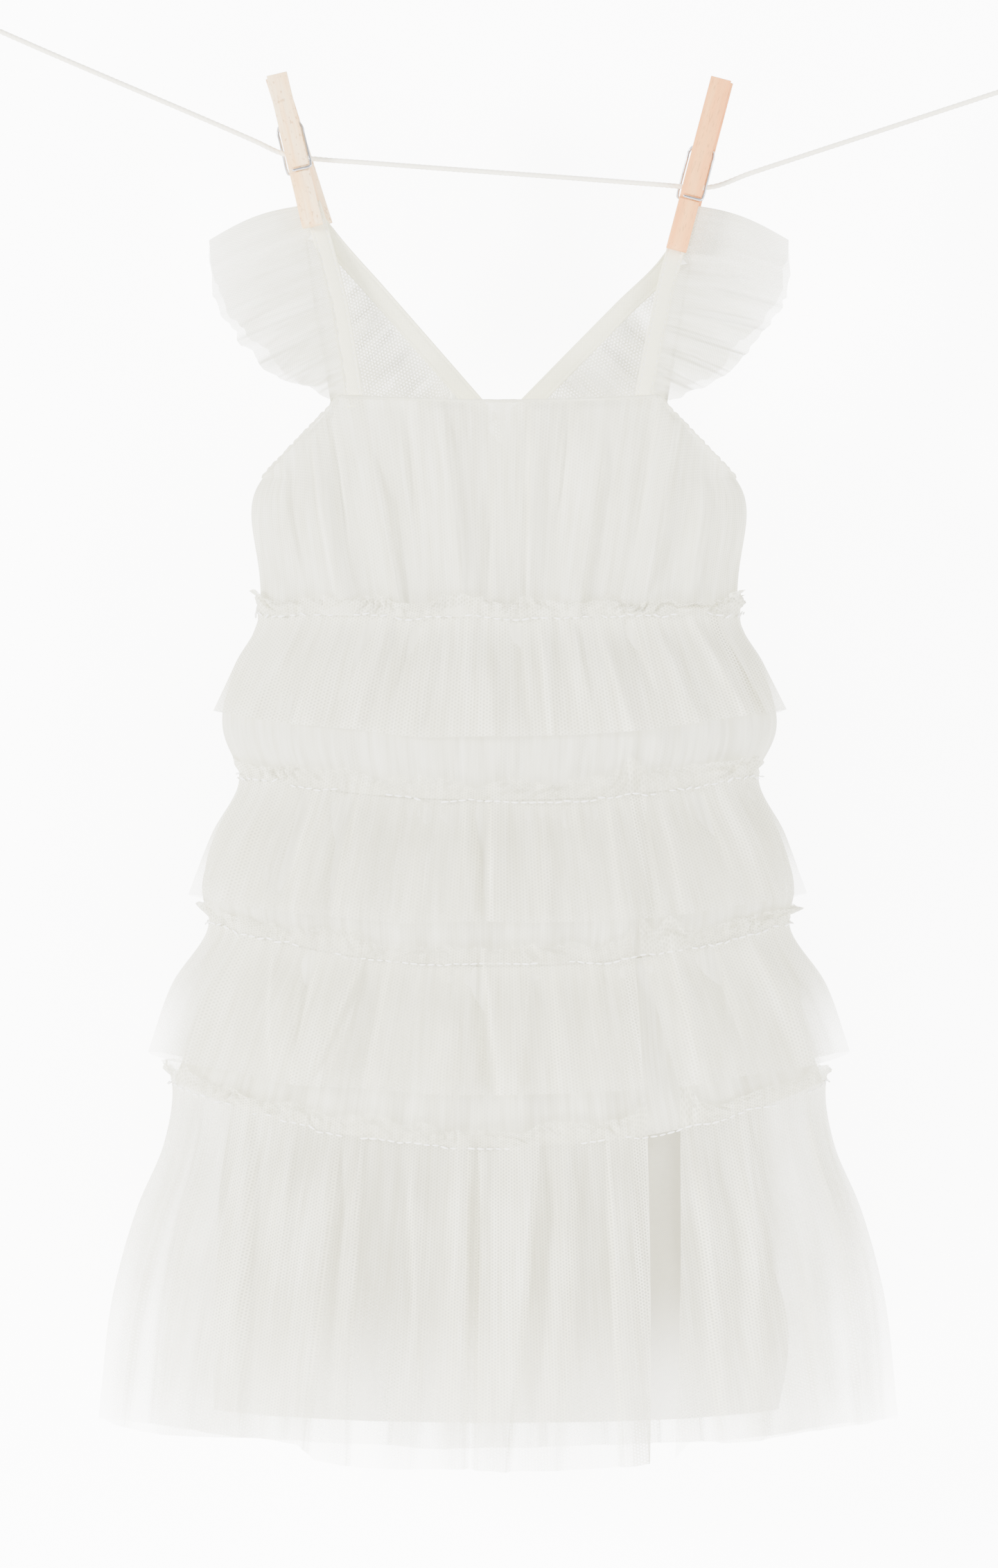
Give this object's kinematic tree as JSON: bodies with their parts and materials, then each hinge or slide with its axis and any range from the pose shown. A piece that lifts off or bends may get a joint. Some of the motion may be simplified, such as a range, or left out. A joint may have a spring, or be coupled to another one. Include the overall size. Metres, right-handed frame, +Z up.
{
  "type": "tiered tulle dress hung on a clothes line with wooden spring pegs",
  "caption": "Child's gathered tulle dress with raw-edged tiers and flutter shoulders, hung nearly flat by its straps from a taut cotton line by wooden spring pegs",
  "frame": {"origin": "on the centreline of the clothes line, midway between the two pegs", "axes": "+X to the right of someone facing the front of the dress, -Y the way the front faces, +Z up"},
  "size_m": [0.5016, 0.1116, 0.6671],
  "materials": {
    "tulle": "off-white soft nylon net, sheer where single",
    "lining": "off-white plain woven lining, matt",
    "strap_tape": "cream folded cotton tape, stitched at both edges",
    "birch": "unfinished pale birch",
    "beech": "unfinished pinkish beech",
    "spring_wire": "zinc-plated spring wire",
    "cotton_line": "twisted off-white cotton line"
  },
  "bodies": {
    "root": {"base_1_back": "tulle", "base_1_front": "tulle", "base_2_back": "tulle", "base_2_front": "tulle", "base_3_back": "tulle", "base_3_front": "tulle", "bodice_back": "tulle", "bodice_front": "tulle", "flounce_1_back": "tulle", "flounce_1_front": "tulle", "flounce_2_back": "tulle", "flounce_2_front": "tulle", "flounce_3_back": "tulle", "flounce_3_front": "tulle", "flounce_4_back": "tulle", "flounce_4_front": "tulle", "knot_left": "cotton_line", "knot_right": "cotton_line", "line": "cotton_line", "lining_back": "lining", "lining_front": "lining", "loop_left": "cotton_line", "loop_right": "cotton_line", "neck_tape_left": "strap_tape", "neck_tape_right": "strap_tape", "peg_left_front_leg": "birch", "peg_left_rear_leg": "birch", "peg_left_spring": "spring_wire", "peg_right_front_leg": "beech", "peg_right_rear_leg": "beech", "peg_right_spring": "spring_wire", "sleeve_left": "tulle", "sleeve_right": "tulle", "strap_left": "strap_tape", "strap_right": "strap_tape"}
  },
  "joints": []
}
